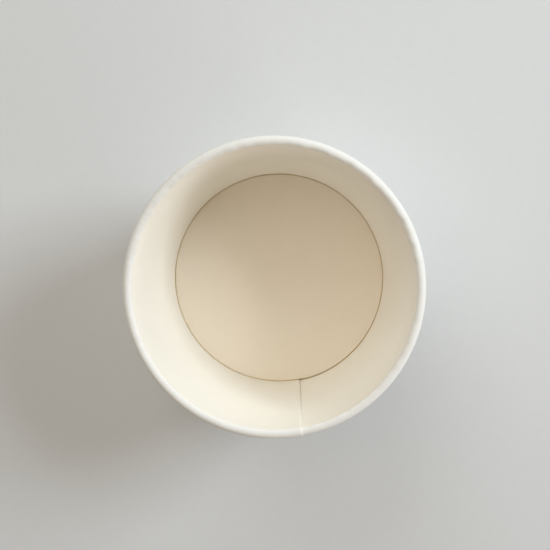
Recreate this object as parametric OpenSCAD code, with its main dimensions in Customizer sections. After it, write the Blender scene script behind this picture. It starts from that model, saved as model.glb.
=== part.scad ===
// Paper soup container, standing on its foot with its axis on Z and the floor at Z = 0.
// One sheet of board is wrapped into a cone and lapped on itself at the side seam. Its upper edge is
// rolled outwards into the rim, and its lower edge is folded in and up round the skirt of the base disc.

/* [Container] */
// Diameter over the rolled rim
rim_d = 90; // [84:1:120]
// Diameter of the wall's outside, where its slope meets the floor
foot_d = 73; // [60:1:76]
// Height from the floor to the top of the rim
height = 58; // [40:1:140]

/* [Side wall] */
// Thickness of the wall's board
wall_t = 0.42; // [0.3:0.02:0.6]
// Diameter of the rolled rim's section
roll_d = 3; // [2.4:0.1:4]
// Angle through which the board is rolled
roll_turn = 300; // [240:5:310]
// Width of the overlap at the side seam, at half height
lap_w = 8; // [4:0.5:12]

/* [Foot] */
// Height of the base disc's upper face above the floor
disc_z = 6; // [4.5:0.5:12]
// Thickness of the base disc's board
disc_t = 0.42; // [0.3:0.02:0.6]
// Inside radius where the disc is turned down into its skirt
disc_bend_r = 0.3; // [0.1:0.1:1]
// Film of coating that seals the skirt to the board on either side of it
seal_t = 0.03; // [0.01:0.01:0.05]
// Inside radius of the fold under the skirt
fold_r = 0.02; // [0.01:0.01:0.05]
// Space between the skirt's lower edge and the fold
skirt_gap = 0.4; // [0.1:0.1:1]
// Space between the hem's upper edge and the start of the disc's bend
hem_gap = 0.3; // [0.1:0.1:1]

/* [Hidden] */
$fn = 96;

// Direction of the side seam, where the sheet's inner edge lies, and the quarter turn beside it over
// which the sheet eases out to pass outside its own start
seam_deg = -90;
ease_deg = 90;
ease_start = seam_deg + ease_deg;

// The easing is an arc that bends away from the container and an arc that bends back. Their centres lie
// 3 and 4 half layers from the axis, square to each other and so 5 apart, and the arcs meet on the line
// through both centres, smoothly and one layer out at the seam.
ease_turn = atan2(4, 3);

// Centre of the rolled rim's section
roll_r = roll_d / 2;
roll_c = [rim_d / 2 - roll_r, height - roll_r];

// Slope of the wall: its outer face starts at the foot and passes inside the roll's centre by the
// roll's radius less the board
to_roll = roll_c - [foot_d / 2, 0];
slope = acos((roll_r - wall_t) / norm(to_roll)) - atan2(to_roll[1], to_roll[0]);

// A layer of wall board and a film of coating, measured along the radius
layer = micron(wall_t / cos(slope));
film = seal_t / cos(slope);

// Angle of the overlap, to a tenth of a degree
mid_r = (foot_d / 2 + roll_c[0]) / 2;
lap_deg = round(lap_w / mid_r * 1800 / PI) / 10;

// The disc's bend, from the flat into the skirt
bend_r = disc_bend_r + disc_t;
bend_z = disc_z - bend_r;
bend_x = wall_in(bend_z) - film - bend_r / cos(slope);
skirt_len = (bend_z - bend_r * sin(slope) - wall_t - fold_r - skirt_gap) / cos(slope);

// The fold under the skirt: its flat leaves room for the skirt and a film on each side
fold_z = wall_t + fold_r;
fold_x = micron(wall_in(fold_z) - fold_r / cos(slope));
fold_flat = micron((disc_t + 2 * seal_t - 2 * fold_r) / cos(slope));

// The hem that stands inside the skirt, and the wall from the fold to the roll
hem_len = (bend_z - hem_gap - fold_z - fold_r * sin(slope)) / cos(slope);
wall_len = (roll_c[1] + roll_r * sin(slope) - fold_z + fold_r * sin(slope)) / cos(slope);

// Radius of the wall's inner face at a height
function wall_in(z) = foot_d / 2 + z * tan(slope) - layer;

// Length to a thousandth of a millimetre
function micron(length) = round(length * 1000) / 1000;

// Slice of the plane round the origin, from the X axis through an angle, out past a radius
module slice(angle, r) {
    corners = ceil(abs(angle) / 60);
    polygon([[0, 0], for (k = [0:corners]) 2 * r * [cos(angle * k / corners), sin(angle * k / corners)]]);
}

// Bend in a strip of board that runs along X with its left face on the X axis, to the left for a
// positive turn; r is the radius of the left face
module bend(turn, r, t) {
    side = sign(turn);
    translate([0, side * r]) intersection() {
        difference() {
            circle(max(r, r + side * t));
            circle(min(r, r + side * t));
        }
        rotate(-side * 90) slice(turn, r + t);
    }
}

// Strip of board seen edge on, as a chain of [length, turn, radius of the left face]: each link runs
// straight for its length, then bends
module strip(links, t, k = 0) {
    run = links[k][0];
    turn = links[k][1];
    r = links[k][2];
    translate([0, -t]) square([run, t]);
    translate([run, 0]) {
        if (turn != 0) bend(turn, r, t);
        if (k + 1 < len(links))
            translate([r * sin(abs(turn)), sign(turn) * r * (1 - cos(turn))])
                rotate(turn) strip(links, t, k + 1);
    }
}

// Section of the wall's board from the flat of the fold, out and up to the end of the roll
module wall_section() {
    flat = max(fold_flat, layer);
    translate([fold_x - flat, wall_t])
        strip([[flat, 90 - slope, fold_r], [wall_len, -roll_turn, roll_r]], wall_t);
}

// Section of the wall's board from the flat of the fold, in and up to the hem's edge
module hem_section() {
    translate([fold_x, wall_t]) mirror([1, 0])
        strip([[fold_flat, 90 + slope, fold_r], [hem_len, 0, 0]], wall_t);
}

// Arc of a section that is moved out by a shift, about an axis that lies away from the container's own
// in a direction
module arc(from, angle, shift = 0, away = 0, direction = 0) {
    translate(away * [cos(direction), sin(direction), 0])
        rotate_extrude(angle = angle, start = from)
            translate([-away, 0]) translate([shift, 0]) children();
}

// Second layer of a section in the overlap, a layer away and sealed into the first
module overlap(side) {
    arc(seam_deg - lap_deg, lap_deg, side * layer) {
        children();
        translate([-side * layer / 2, 0]) children();
    }
}

// Sheet of the wall: round the container from its start at the seam to the easing, along the easing
// with the hem held in, and on outside its own start
module side_wall() {
    color("#f4efe4") {
        arc(ease_start, 360 - ease_deg) {
            wall_section();
            hem_section();
        }
        arc(ease_start - ease_turn, ease_turn, away = -3 / 2 * layer, direction = ease_start)
            wall_section();
        arc(seam_deg, ease_deg - ease_turn, layer, away = 4 / 2 * layer, direction = seam_deg)
            wall_section();
        arc(seam_deg, ease_deg) hem_section();
        overlap(1) wall_section();
        overlap(-1) hem_section();
    }
}

// Disc of the base: a flat round of board, turned down at its edge into the skirt
module base_disc() {
    color("#e4d9c3") rotate_extrude()
        translate([0, disc_z])
            strip([[bend_x, -90 - slope, bend_r], [skirt_len, 0, 0]], disc_t);
}

side_wall();
base_disc();
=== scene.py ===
"""Looks of a paper soup container: one wrapped sheet of board with a rolled rim and a base disc in its foot.

Lengths are in metres and angles in radians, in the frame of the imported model: Z goes up along the container's
axis from the floor, and the side seam is at -Y.
"""
from math import acos, atan2, cos, hypot, pi, radians, sin, tan

import bpy
import numpy as np
from mathutils import Matrix, Vector


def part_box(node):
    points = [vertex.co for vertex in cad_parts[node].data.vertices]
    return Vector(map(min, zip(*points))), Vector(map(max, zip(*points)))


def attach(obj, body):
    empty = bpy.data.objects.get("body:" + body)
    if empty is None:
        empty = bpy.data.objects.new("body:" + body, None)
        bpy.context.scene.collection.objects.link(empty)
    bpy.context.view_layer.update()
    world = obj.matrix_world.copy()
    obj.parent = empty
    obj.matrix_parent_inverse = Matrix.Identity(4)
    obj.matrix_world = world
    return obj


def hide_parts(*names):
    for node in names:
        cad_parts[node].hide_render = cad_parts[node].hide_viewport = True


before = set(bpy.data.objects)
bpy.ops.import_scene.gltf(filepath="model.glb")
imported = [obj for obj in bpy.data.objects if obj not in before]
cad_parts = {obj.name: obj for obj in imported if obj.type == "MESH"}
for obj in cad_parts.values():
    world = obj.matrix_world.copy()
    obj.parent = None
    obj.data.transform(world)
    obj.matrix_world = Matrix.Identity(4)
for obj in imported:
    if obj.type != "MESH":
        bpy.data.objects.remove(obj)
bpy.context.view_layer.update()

MM = 0.001

# Sizes that the frame gives
RIM_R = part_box("side_wall")[1].x
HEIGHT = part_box("side_wall")[1].z
DISC_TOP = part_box("base_disc")[1].z
SKIRT_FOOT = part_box("base_disc")[0].z

# The board of the wall and of the disc, and the film of coating between two boards that lie together
BOARD_T = 0.42 * MM
FILM = 0.03 * MM

# The rolled rim's section, and the wall's outside where its slope meets the floor
ROLL_R = 1.5 * MM
ROLL_TURN = radians(300)
FOOT_R = 36.5 * MM

# The fold at the foot, the hem inside it, and how far up the fold's lift over a second layer fades out
FOLD_R = 0.02 * MM
HEM_TOP = 4.98 * MM
LIFT_FADE = 4 * MM

# The disc's edge, turned down into its skirt: the bend's radius, how far the skirt stays above the fold where
# that is lifted over a second layer, the share of the wall's easing that the edge follows, the outer share of
# the disc that moves with it, and the turn beside the seam over which the edge comes back to its round
DISC_BEND_R = 0.45 * MM
SKIRT_CLEAR = 0.08 * MM
DISC_FOLLOWS = 0.7
DISC_EDGE = 0.2
SEAM_GAP = radians(4)

# The side seam: its direction, the overlap of the sheet on itself, the stretch before the seam over which the
# sheet eases out to pass outside its own start, and the stretch after the overlap where its fold comes down
SEAM = radians(-90)
LAP = radians(11.5)
EASE = radians(90)
SETTLE = radians(15)

# The sheet's start, pressed thinner along its edge
PRESS_W = 0.8 * MM
PRESS_DEPTH = 0.18 * MM
# How far the painted shade of the gap beside it shows on the sheet's other end
GAP_SHADE = 0.4 * MM

# Unevenness where the wall goes into the roll: its size, its middle as a length along the roll, its reach to
# both sides of that, and the straight of the wall that it reaches
WAVER = 0.16 * MM
WAVER_AT = 0.9 * MM
WAVER_REACH = 1.3 * MM
NECK = 3 * MM
# Its waves round the rim: their numbers in a turn, the least weight of one, the seed of their draws, their
# share on the even rim, and what the wavy stretch adds to that
WAVES = np.arange(14, 71, 4)
LEAST_WAVE = 0.4
WAVE_SEED = 8
EVEN_SHARE = 0.6
WAVY_SHARE = 0.7
# The groove that the roll's tool presses below it: its depth, its middle on the same length, and its reach
GROOVE = 0.12 * MM
GROOVE_AT = -0.3 * MM
GROOVE_REACH = 0.7 * MM
# Stretches of the rim, as middle and half width, where the board wavers most and where it is most creased
WAVY = radians(38), radians(40)
CREASED = radians(125), radians(35)
# Share of a layer that shows as a step where the sheet's two ends are rolled and pressed together, and the
# turn of the roll over which the rest of the step goes
ROLLED_STEP = 0.35
STEP_TURN = radians(35)
# How much tighter the roll's end is tucked in beside the doubled wall, and the turn of the roll where that
# starts
TUCK = 0.5 * MM
TUCK_FROM = radians(230)

# Slope of the wall: its outer face starts at the foot and passes inside the roll's centre
ROLL_X = RIM_R - ROLL_R
ROLL_Z = HEIGHT - ROLL_R
SLOPE = acos((ROLL_R - BOARD_T) / hypot(ROLL_X - FOOT_R, ROLL_Z)) - atan2(ROLL_Z, ROLL_X - FOOT_R)

# Spacing and length of the fine creases across the roll
CREASE = 0.5 * MM
CREASE_RUN = 5 * MM

# Points on the straights and turns of the wall's section and of the disc's
HEM_POINTS = 5
FOLD_POINTS = 6
FADE_POINTS = 6
WALL_POINTS = 9
NECK_POINTS = 5
ROLL_POINTS = 40
DISC_POINTS = 24
BEND_POINTS = 12
SKIRT_POINTS = 5

# Sections round the container: over the wall's pressed strip, its turn, the gap's shade and the lap, and
# round the disc
STRIP_SECTIONS = 5
TURN_SECTIONS = 530
SHADE_SECTIONS = 4
LAP_SECTIONS = 16
DISC_SECTIONS = 360

# Edges that turn by more than this are shaded sharp
SHARP = radians(50)

# The camera: where it is, the point that it looks at, the turn of the picture's upright from +Y towards +X,
# its focal length and frame in pixels, and the nearest that it sees
CAMERA_AT = Vector((13.01, 16.82, 321.09)) * MM
CAMERA_AIM = Vector((1.29, 3.90, 58.0)) * MM
PICTURE_TURN = radians(11.6)
FOCAL_PX = 895.55
FRAME_PX = 550
SENSOR_MM = 36
CAMERA_NEAR = 10 * MM

# The floor's size, the distances from the container's axis between which it fades into the backdrop, and its
# opening for light under the foot
FLOOR_SIZE = 4.0
FLOOR_FADE = 0.35, 0.9
FLOOR_OPENING = 36 * MM


def srgb(red, green, blue):
    """Linear colour of a screen colour from 0 to 255: the screen's curve undone for each channel."""
    screen = np.array([red, green, blue]) / 255
    linear = np.where(screen > 0.04045, ((screen + 0.055) / 1.055) ** 2.4, screen / 12.92)
    return (*linear.tolist(), 1.0)


def smooth(x):
    """Smooth step from 0 to 1: half of 1 less the cosine, flat at both ends."""
    return (1 - np.cos(pi * np.clip(x, 0, 1))) / 2


# Shapes


def follow(start, heading, links):
    """Path of a board's left face seen edge on, with its heading and its length at each point.

    A link is (length, turn, radius, points on the straight, points on the turn). It runs straight for its
    length and then turns, to the left where the turn is positive: each point of the turn is the centre of the
    arc plus the radius, square to the heading there.
    """
    at = np.array(start, float)
    points = [at[None]]
    headings = [[heading]]
    for length, turn, radius, straight_points, turn_points in links:
        ahead = np.array([cos(heading), sin(heading)])
        left = np.array([-sin(heading), cos(heading)])
        run = np.linspace(0, length, straight_points + 1)[1:]
        points.append(at + run[:, None] * ahead)
        headings.append(np.full(straight_points, heading))
        side = np.sign(turn)
        centre = at + length * ahead + side * radius * left
        turned = heading + turn * np.linspace(0, 1, turn_points + 1)[1:]
        points.append(centre + side * radius * np.stack([np.sin(turned), -np.cos(turned)], axis=1))
        headings.append(turned)
        heading += turn
        at = np.concatenate(points)[-1]
    path = np.concatenate(points)
    steps = np.hypot(*np.diff(path, axis=0).T)
    return path, np.concatenate(headings), np.concatenate([[0], np.cumsum(steps)])


def to_right(path, heading, distance):
    """Path moved square to its heading, to the right, by a distance at each point."""
    normal = np.stack([np.sin(heading), -np.cos(heading)], axis=-1)
    return path + np.asarray(distance)[..., None] * normal


def wall_radius(z):
    """Radius of the wall's inner face at a height."""
    return FOOT_R + z * tan(SLOPE) - BOARD_T / cos(SLOPE)


def wall_path():
    """Left face of the wall's sheet: down the hem, round the fold, up the wall and round the roll."""
    fold_z = BOARD_T + FOLD_R
    fold_x = wall_radius(fold_z) - FOLD_R / cos(SLOPE)
    flat = (BOARD_T + 2 * FILM - 2 * FOLD_R) / cos(SLOPE)
    hem_z = fold_z + FOLD_R * sin(SLOPE)
    hem_run = (HEM_TOP - hem_z) / cos(SLOPE)
    hem_x = fold_x - flat - FOLD_R * cos(SLOPE)
    start = [hem_x + hem_run * sin(SLOPE), HEM_TOP]
    wall_run = (ROLL_Z + ROLL_R * sin(SLOPE) - fold_z + FOLD_R * sin(SLOPE)) / cos(SLOPE)
    fade_run = 2 * BOARD_T + LIFT_FADE
    return follow(start, -pi / 2 - SLOPE, [
        (hem_run, pi / 2 + SLOPE, FOLD_R, HEM_POINTS, FOLD_POINTS),
        (flat, pi / 2 - SLOPE, FOLD_R, 1, FOLD_POINTS),
        (fade_run, 0, 0, FADE_POINTS, 0),
        (wall_run - fade_run - NECK, 0, 0, WALL_POINTS, 0),
        (NECK, -ROLL_TURN, ROLL_R, NECK_POINTS, ROLL_POINTS),
    ])


def new_piece(name, points, faces, attributes, uv=None):
    """Mesh object at the origin from points and faces, with numbers at its points or faces and a UV map."""
    mesh = bpy.data.meshes.new(name)
    mesh.from_pydata(points, [], faces)
    for key, values in attributes.items():
        domain = "POINT" if len(values) == len(points) else "FACE"
        layer = mesh.attributes.new(key, "FLOAT", domain)
        layer.data.foreach_set("value", np.asarray(values, np.float32))
    if uv is not None:
        corner_points = np.empty(len(mesh.loops), np.int32)
        mesh.loops.foreach_get("vertex_index", corner_points)
        layer = mesh.uv_layers.new(name="sheet")
        layer.data.foreach_set("uv", np.asarray(uv, np.float32)[corner_points].ravel())
    mesh.shade_smooth()
    mesh.set_sharp_from_angle(angle=SHARP)
    piece = bpy.data.objects.new(name, mesh)
    bpy.context.scene.collection.objects.link(piece)
    return piece


def grid_faces(rows, columns, close_columns=False):
    """Quads of a grid of points in rows, as point numbers. If closed, the last column joins the first."""
    number = np.arange(rows * columns).reshape(rows, columns)
    if close_columns:
        number = np.concatenate([number, number[:, :1]], axis=1)
    corners = [number[:-1, :-1], number[:-1, 1:], number[1:, 1:], number[1:, :-1]]
    return np.stack(corners, axis=-1).reshape(-1, 4)


def stretch(angle, middle, half_width):
    """Share from 0 to 1 of a stretch of the rim: a bell round its middle direction."""
    away = (angle - middle + pi) % (2 * pi) - pi
    return np.exp(-(away / half_width) ** 2)


def rim_waver(angle):
    """Unevenness of the board round the rim: a sum of cosines with seeded phases, larger where it is wavy."""
    draw = np.random.default_rng(WAVE_SEED)
    phases = draw.uniform(0, 2 * pi, len(WAVES))
    weights = draw.uniform(LEAST_WAVE, 1, len(WAVES)) / np.sqrt(len(WAVES))
    share = EVEN_SHARE + WAVY_SHARE * stretch(angle, *WAVY)
    return (np.cos(angle[:, None] * WAVES + phases) @ weights) * share


def easing(angle):
    """Share of a layer by which the sheet has eased out, in a direction of the last quarter turn."""
    return smooth((SEAM + EASE - angle) / EASE)


def make_wall():
    """Sheet of the wall: its section's outline, both faces and both edges, carried round the container.

    The sheet goes clockwise from its start at the seam. On its last quarter turn it moves square to itself by
    a board and a film, so that it passes outside its own start and its roll lies inside the first one's.
    In the roll it moves less, and its start is pressed thinner there to leave it room. Where the wall is
    double, the roll's end is tucked in clear of it. Along its start the inner face is pressed back, least
    where the pressed strip ends. The fold is lifted along the wall where it would go through the floor or
    through the sheet's other end.
    """
    path, heading, run = wall_path()
    columns = len(path)
    strip = PRESS_W / RIM_R
    full_turn = 2 * pi
    shade = GAP_SHADE / RIM_R
    along = np.concatenate([
        np.linspace(0, strip, STRIP_SECTIONS),
        np.linspace(strip, full_turn - shade, TURN_SECTIONS)[1:],
        np.linspace(full_turn - shade, full_turn, SHADE_SECTIONS)[1:],
        np.linspace(full_turn, full_turn + LAP, LAP_SECTIONS)[1:],
    ])
    rows = len(along)
    angle = SEAM - along
    layer = BOARD_T + FILM
    eased = easing(angle + full_turn)
    over_end = smooth((LAP + SETTLE - along) / SETTLE)
    doubled = eased + over_end
    roll_run = run[-1] - ROLL_R * ROLL_TURN
    in_roll = run > roll_run
    turned = np.where(in_roll, pi / 2 - SLOPE - heading, 0)
    from_fold = np.maximum(path[:, 1] - 2 * BOARD_T, 0)
    lift_share = np.where(in_roll, 0, smooth(1 - from_fold / LIFT_FADE))
    slide = layer * np.outer(doubled, lift_share)[..., None] * np.array([tan(SLOPE), 1])
    step_share = 1 - (1 - ROLLED_STEP) * smooth(turned / STEP_TURN)
    from_roll = run - roll_run
    waver = WAVER * np.outer(rim_waver(angle), np.exp(-((from_roll - WAVER_AT) / WAVER_REACH) ** 2))
    groove = GROOVE * np.exp(-((from_roll - GROOVE_AT) / GROOVE_REACH) ** 2)
    tuck = TUCK * np.outer(doubled, smooth((turned - TUCK_FROM) / (ROLL_TURN - TUCK_FROM)))
    inward = layer * np.outer(eased, step_share) + waver + groove + tuck
    pressed = 1 - smooth(along / strip)
    beside = smooth(1 - (full_turn - along) / shade)

    thickness = BOARD_T - layer * np.outer(over_end, 1 - step_share)
    inner = to_right(path + slide, heading, inward + PRESS_DEPTH * np.outer(pressed, step_share))
    outer = to_right(path + slide, heading, inward + thickness)
    section = np.concatenate([inner, outer[:, ::-1]], axis=1)
    radius = section[..., 0]
    points = np.stack([
        radius * np.cos(angle)[:, None],
        radius * np.sin(angle)[:, None],
        section[..., 1],
    ], axis=-1).reshape(-1, 3)

    around = grid_faces(rows, 2 * columns, close_columns=True)[:, ::-1]
    near = np.arange(columns)
    cap = np.stack([near[:-1], near[1:], 2 * columns - 2 - near[:-1], 2 * columns - 1 - near[:-1]], axis=1)
    faces = np.concatenate([around, cap, cap[:, ::-1] + (rows - 1) * 2 * columns])

    on_edge = np.zeros(2 * columns)
    on_edge[[columns - 1, 2 * columns - 1]] = 1
    cut = np.concatenate([np.tile(on_edge, rows - 1), np.ones(2 * len(cap))])
    roll_share = np.concatenate([turned, turned[::-1]]) / ROLL_TURN
    outside = np.concatenate([np.zeros(columns), np.ones(columns)])
    lengths = np.concatenate([run, run[::-1]])
    uv = np.stack([
        np.repeat(along * RIM_R, 2 * columns),
        np.tile(lengths, rows),
    ], axis=1)
    attributes = {
        "roll": np.tile(roll_share, rows),
        "creased": np.repeat(stretch(angle, *CREASED), 2 * columns),
        "outside": np.tile(outside, rows),
        "pressed": np.repeat(pressed, 2 * columns),
        "gap": np.repeat(beside, 2 * columns),
        "cut": cut,
    }
    return new_piece("wrapped_wall", points, faces, attributes, uv)


def make_disc():
    """Base disc: its section's outline, from the middle of its top to the middle of its underside, revolved.

    The section runs out along the top, turns down into the skirt, and comes back on its other face. Near its
    edge it moves out with part of the wall's easing, and comes back to its round just before the seam.
    """
    bend_z = DISC_TOP - DISC_BEND_R
    edge = wall_radius(bend_z) - (FILM + DISC_BEND_R) / cos(SLOPE)
    skirt_run = (bend_z - DISC_BEND_R * sin(SLOPE) - SKIRT_FOOT - SKIRT_CLEAR) / cos(SLOPE)
    path, heading, _ = follow([0, DISC_TOP], 0, [
        (edge, -pi / 2 - SLOPE, DISC_BEND_R, DISC_POINTS, BEND_POINTS),
        (skirt_run, 0, 0, SKIRT_POINTS, 0),
    ])
    columns = len(path)
    under = to_right(path, heading, np.full(columns, BOARD_T))
    section = np.concatenate([path[1:], under[:0:-1]])
    angle = np.linspace(SEAM, SEAM + 2 * pi, DISC_SECTIONS, endpoint=False)
    rows = len(section)
    gap = easing(angle) * smooth((angle - SEAM) / SEAM_GAP)
    near_edge = smooth(1 - (1 - section[:, 0] / edge) / DISC_EDGE)
    radius = section[:, :1] + np.outer(near_edge, DISC_FOLLOWS * BOARD_T * gap)
    points = np.stack([
        radius * np.cos(angle),
        radius * np.sin(angle),
        np.repeat(section[:, 1:], len(angle), axis=1),
    ], axis=-1).reshape(-1, 3)
    middles = np.array([[0, 0, DISC_TOP], [0, 0, DISC_TOP - BOARD_T]])
    around = grid_faces(rows, len(angle), close_columns=True)[:, ::-1]
    first = np.arange(len(angle))
    second = np.roll(first, -1)
    top = len(points)
    last = (rows - 1) * len(angle)
    fan_top = np.stack([np.full(len(angle), top), first, second], axis=1)
    fan_under = np.stack([np.full(len(angle), top + 1), last + second, last + first], axis=1)
    faces = around.tolist() + fan_top.tolist() + fan_under.tolist()
    turned = np.clip(-heading / (pi / 2 + SLOPE), 0, 1)
    bent = np.concatenate([turned[1:], turned[:0:-1]])
    underside = np.concatenate([np.zeros(columns - 1), np.ones(columns - 1)])
    attributes = {
        "bent": np.concatenate([np.repeat(bent, len(angle)), [0, 0]]),
        "outside": np.concatenate([np.repeat(underside, len(angle)), [0, 1]]),
    }
    return new_piece("base_round", np.concatenate([points, middles]), faces, attributes)


# Finishes

# Colours of the boards and of the floor, each from its darker clouds to its paler ones
COATED_WHITE = srgb(249, 244, 234), srgb(252, 247, 239)
PLAIN_WHITE = srgb(243, 241, 236), srgb(248, 246, 242)
COATED_CREAM = srgb(238, 226, 207), srgb(242, 230, 212)
PLAIN_CREAM = srgb(234, 226, 210), srgb(240, 233, 219)
FLOOR_GREY = srgb(211, 211, 212), srgb(215, 215, 216)
# Colours of the roll, the painted shade of its creases, the pressed strip's painted highlight, the painted
# shade of the gap beside it, the seal and a cut edge
ROLLED_WHITE = srgb(238, 236, 233)
PAINTED_CREASE_SHADE = srgb(204, 197, 190)
PAINTED_STRIP_HIGHLIGHT = srgb(252, 250, 246)
PAINTED_GAP_SHADE = srgb(186, 160, 118)
SEAL_TAN = srgb(240, 224, 192)
CUT_CREAM = srgb(240, 232, 214)
# Light from all round, and the backdrop that is seen of it
WORLD_LIGHT = 0.22, 0.18, 0.13, 1.0
BACKDROP = srgb(216, 216, 217)

# Sizes of the clouds, the fibres and the floor's grain, and the depth of each surface's relief
WALL_CLOUD = 6 * MM
DISC_CLOUD = 7 * MM
FIBRE = 0.5 * MM
FLOOR_GRAIN = 3 * MM
WALL_RELIEF = 0.05 * MM
DISC_RELIEF = 0.02 * MM
FLOOR_RELIEF = 0.01 * MM

# Share of the roll's turn by which the board has the roll's look, and of the disc's bend by which the
# seal covers it
ROLLED_BY = 1 / 6
SEALED_BY = 1 / 2
# How far the roll's white covers the board's, the creases' share where the rim has fewest, and how far
# their grey painted shade covers it
ROLL_COVER = 0.8
LEAST_CREASED = 0.3
CREASE_SHADE_COVER = 0.6

# Roughness of the wall, the disc and the floor, and what plain board, the roll, fibres and grain add
WALL_ROUGH = 0.50
DISC_ROUGH = 0.40
FLOOR_ROUGH = 0.7
PLAIN_WALL_ADDS = 0.08
PLAIN_DISC_ADDS = 0.16
ROLL_ADDS = 0.12
FIBRE_ADDS = 0.08
GRAIN_ADDS = 0.1
# Shares of the relief that fibres, clouds and creases have on the wall, and fibres and clouds on the disc
WALL_FIBRES = 0.25
WALL_CLOUDS = 0.15
WALL_CREASES = 0.8
DISC_FIBRES = 0.6
DISC_CLOUDS = 0.4
SURFACE_IOR = 1.5


class Wire:
    """A socket of a material's nodes, as a value in Python expressions: arithmetic on it adds Math nodes."""

    def __init__(self, tree, socket=None):
        self.tree = tree
        self.socket = socket

    def node(self, kind, settings=None, inputs=None, output=0):
        """Add a node: its settings first, then the values or links of its sockets. Gives one output."""
        made = self.tree.nodes.new(kind)
        for key, value in (settings or {}).items():
            setattr(made, key, value)
        for key, value in (inputs or {}).items():
            if isinstance(value, Wire):
                self.tree.links.new(value.socket, made.inputs[key])
            else:
                made.inputs[key].default_value = value
        return None if output is None else Wire(self.tree, made.outputs[output])

    def math(self, operation, *values, clamp=False):
        """Add a Math node on numbers or sockets."""
        settings = {"operation": operation, "use_clamp": clamp}
        return self.node("ShaderNodeMath", settings, dict(enumerate(values)))

    def __add__(self, other):
        return self.math("ADD", self, other)

    def __radd__(self, other):
        return self.math("ADD", other, self)

    def __rsub__(self, other):
        return self.math("SUBTRACT", other, self)

    def __mul__(self, other):
        return self.math("MULTIPLY", self, other)

    def __rmul__(self, other):
        return self.math("MULTIPLY", other, self)


def new_material(name):
    """Empty material, and the start of its nodes."""
    material = bpy.data.materials.new(name)
    material.use_nodes = True
    material.node_tree.nodes.clear()
    return material, Wire(material.node_tree)


def noise(graph, where, size, detail=2.0):
    """Noise from 0 to 1 whose features are about a size across."""
    return graph.node("ShaderNodeTexNoise", {}, {"Vector": where, "Scale": 1 / size, "Detail": detail})


def blend(graph, share, first, second):
    """Colour between two colours: sockets 6 and 7 of a Mix node take colours, and its output 2 gives one."""
    return graph.node("ShaderNodeMix", {"data_type": "RGBA"}, {0: share, 6: first, 7: second}, output=2)


def number(graph, name):
    """Number that the mesh holds at its points or faces."""
    return graph.node("ShaderNodeAttribute", {"attribute_name": name}, output="Fac")


def finish(graph, colour, roughness, height, relief, alpha=1.0):
    """Close a material with its shader: colour, roughness, the height of its relief and how solid it is."""
    bump = graph.node("ShaderNodeBump", {}, {"Strength": 1.0, "Distance": relief, "Height": height})
    shader = graph.node("ShaderNodeBsdfPrincipled", {}, {
        "Base Color": colour,
        "Roughness": roughness,
        "IOR": SURFACE_IOR,
        "Alpha": alpha,
        "Normal": bump,
    })
    graph.node("ShaderNodeOutputMaterial", {}, {"Surface": shader}, output=None)


def wall_board():
    """White board with a satin coating: clouded fibres, a duller white and finely creased where it is rolled.
    The creases have grey painted shade as well as their relief.

    Inside, below the disc's top, it is tan with the coating that seals the disc, which looks brown in the
    gap's shade. The pressed strip at the seam is painted whiter as a highlight, and the other end of the sheet
    has painted shade beside it, darker towards the foot.
    """
    material, graph = new_material("wall_board")
    where = graph.node("ShaderNodeTexCoord", output="Object")
    cloud = noise(graph, where, WALL_CLOUD, detail=3.0)
    fibre = noise(graph, where, FIBRE, detail=4.0)
    outside = number(graph, "outside")
    rolled = graph.math("DIVIDE", number(graph, "roll"), ROLLED_BY, clamp=True)
    sheet = graph.node("ShaderNodeUVMap", {"uv_map": "sheet"})
    spacing = 1 / CREASE, 1 / CREASE_RUN, 1
    across = graph.node("ShaderNodeMapping", {}, {"Vector": sheet, "Scale": spacing})
    lines = noise(graph, across, size=1.0, detail=1.0)
    crease = rolled * (LEAST_CREASED + (1 - LEAST_CREASED) * number(graph, "creased")) * lines
    height = graph.node("ShaderNodeSeparateXYZ", {}, {"Vector": where}, output="Z")
    coated = 1 - outside
    sealed = graph.math("LESS_THAN", height, DISC_TOP) * coated
    shade = number(graph, "gap") * coated * (1 - height * (1 / HEIGHT))
    inside = blend(graph, cloud, *COATED_WHITE)
    plain = blend(graph, cloud, *PLAIN_WHITE)
    colour = blend(graph, outside, inside, plain)
    colour = blend(graph, rolled * ROLL_COVER, colour, ROLLED_WHITE)
    # Grey painted shade along the roll's creases, on top of their relief in the bump
    colour = blend(graph, crease * CREASE_SHADE_COVER, colour, PAINTED_CREASE_SHADE)
    # The pressed strip is painted whiter as a highlight, over the light that its bevel catches
    colour = blend(graph, number(graph, "pressed") * coated, colour, PAINTED_STRIP_HIGHLIGHT)
    # Brown painted shade of the gap on the sheet's other end, darker towards the foot
    colour = blend(graph, shade, colour, PAINTED_GAP_SHADE)
    colour = blend(graph, sealed, colour, SEAL_TAN)
    colour = blend(graph, number(graph, "cut"), colour, CUT_CREAM)
    roughness = WALL_ROUGH + PLAIN_WALL_ADDS * outside + ROLL_ADDS * rolled + FIBRE_ADDS * fibre
    relief = fibre * WALL_FIBRES + cloud * WALL_CLOUDS + crease * WALL_CREASES
    finish(graph, colour, roughness, relief, WALL_RELIEF)
    return material


def base_board():
    """Cream board with a satin coating: clouded fibres, and tan with the seal from its bend on."""
    material, graph = new_material("base_board")
    where = graph.node("ShaderNodeTexCoord", output="Object")
    cloud = noise(graph, where, DISC_CLOUD, detail=3.0)
    fibre = noise(graph, where, FIBRE, detail=4.0)
    outside = number(graph, "outside")
    coated = blend(graph, cloud, *COATED_CREAM)
    plain = blend(graph, cloud, *PLAIN_CREAM)
    colour = blend(graph, outside, coated, plain)
    sealed = graph.math("DIVIDE", number(graph, "bent"), SEALED_BY, clamp=True)
    colour = blend(graph, sealed, colour, SEAL_TAN)
    roughness = DISC_ROUGH + PLAIN_DISC_ADDS * outside + FIBRE_ADDS * fibre
    relief = fibre * DISC_FIBRES + cloud * DISC_CLOUDS
    finish(graph, colour, roughness, relief, DISC_RELIEF)
    return material


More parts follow.
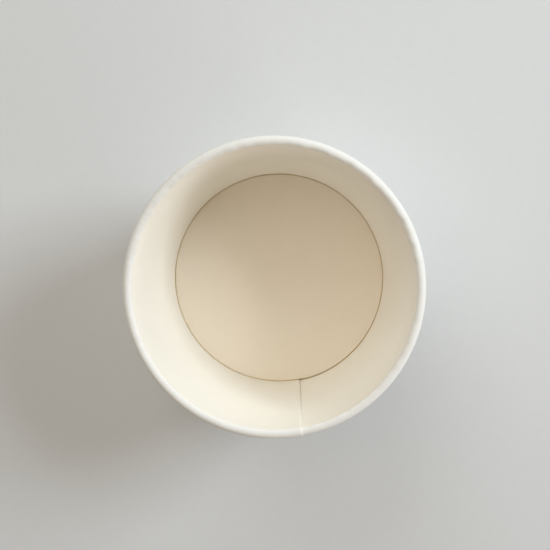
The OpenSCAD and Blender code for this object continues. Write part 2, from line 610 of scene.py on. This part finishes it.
def floor_paint():
    """Plain pale matt floor that fades out into the backdrop far from the container.

    It is clear from below, and inside the foot it is open to light though not to sight, so that the
    container's underside has light.
    """
    material, graph = new_material("floor_paint")
    where = graph.node("ShaderNodeTexCoord", output="Object")
    grain = noise(graph, where, FLOOR_GRAIN)
    away = graph.node("ShaderNodeVectorMath", {"operation": "LENGTH"}, {0: where}, output="Value")
    near = graph.node("ShaderNodeMapRange", {"interpolation_type": "SMOOTHSTEP"}, {
        "Value": away,
        "From Min": FLOOR_FADE[0],
        "From Max": FLOOR_FADE[1],
        "To Min": 1.0,
        "To Max": 0.0,
    })
    above = 1 - graph.node("ShaderNodeNewGeometry", output="Backfacing")
    seen = graph.node("ShaderNodeLightPath", output="Is Camera Ray")
    closed = graph.math("MAXIMUM", seen, graph.math("GREATER_THAN", away, FLOOR_OPENING))
    colour = blend(graph, grain, *FLOOR_GREY)
    roughness = FLOOR_ROUGH + GRAIN_ADDS * grain
    finish(graph, colour, roughness, grain, FLOOR_RELIEF, alpha=near * above * closed)
    return material


# The picture


def add_lamp(name, at, size, power, colour):
    """Square soft lamp at a place, turned to the container's mouth."""
    lamp = bpy.data.lights.new(name, "AREA")
    lamp.size = size
    lamp.energy = power
    lamp.color = colour
    holder = bpy.data.objects.new(name, lamp)
    holder.location = at
    holder.rotation_euler = (Vector((0, 0, HEIGHT)) - Vector(at)).to_track_quat("-Z", "Y").to_euler()
    bpy.context.scene.collection.objects.link(holder)


def add_camera():
    """Camera at its place, looking at its aim, with the picture's upright turned from +Y."""
    lens = bpy.data.cameras.new("camera")
    lens.sensor_width = SENSOR_MM
    lens.lens = FOCAL_PX / FRAME_PX * SENSOR_MM
    lens.clip_start = CAMERA_NEAR
    back = (CAMERA_AT - CAMERA_AIM).normalized()
    right = Vector((sin(PICTURE_TURN), cos(PICTURE_TURN), 0)).cross(back).normalized()
    upright = back.cross(right)
    holder = bpy.data.objects.new("camera", lens)
    turn = Matrix((right, upright, back)).transposed().to_4x4()
    holder.matrix_world = Matrix.Translation(CAMERA_AT) @ turn
    bpy.context.scene.collection.objects.link(holder)
    bpy.context.scene.camera = holder


def add_floor(size):
    """Flat square floor under the container."""
    corners = size / 2 * np.array([[-1, -1, 0], [1, -1, 0], [1, 1, 0], [-1, 1, 0]])
    mesh = bpy.data.meshes.new("floor")
    mesh.from_pydata(corners.tolist(), [], [[0, 1, 2, 3]])
    floor = bpy.data.objects.new("floor", mesh)
    mesh.materials.append(floor_paint())
    bpy.context.scene.collection.objects.link(floor)


def add_world(light, backdrop):
    """Even light from all round, with a pale backdrop for what the camera and reflections see of it."""
    world = bpy.data.worlds.new("studio")
    world.use_nodes = True
    world.node_tree.nodes.clear()
    graph = Wire(world.node_tree)
    rays = ["Is Camera Ray", "Is Glossy Ray", "Is Transmission Ray"]
    seen, glossy, through = [graph.node("ShaderNodeLightPath", output=ray) for ray in rays]
    colour = blend(graph, graph.math("ADD", seen + glossy, through, clamp=True), light, backdrop)
    shader = graph.node("ShaderNodeBackground", {}, {"Color": colour, "Strength": 1.0})
    graph.node("ShaderNodeOutputWorld", {}, {"Surface": shader}, output=None)
    bpy.context.scene.world = world


add_camera()
add_floor(FLOOR_SIZE)
add_world(WORLD_LIGHT, BACKDROP)
add_lamp("key", at=(0.806, 0.190, 0.617), size=0.4, power=7.2, colour=(0.83, 0.93, 1.0))
add_lamp("low_fill", at=(-0.126, 0.856, 0.558), size=0.7, power=3.2, colour=(0.90, 1.0, 1.0))
add_lamp("front", at=(0.472, -0.873, 0.18), size=0.3, power=2.2, colour=(1.0, 0.97, 0.94))
add_lamp("high_fill", at=(-0.201, 0.372, 0.964), size=0.7, power=2.2, colour=(1.0, 0.94, 0.86))
bpy.context.scene.view_settings.view_transform = "Standard"

wall = make_wall()
wall.data.materials.append(wall_board())
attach(wall, "root")
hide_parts("side_wall")

disc = make_disc()
disc.data.materials.append(base_board())
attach(disc, "root")
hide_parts("base_disc")

bpy.context.view_layer.update()
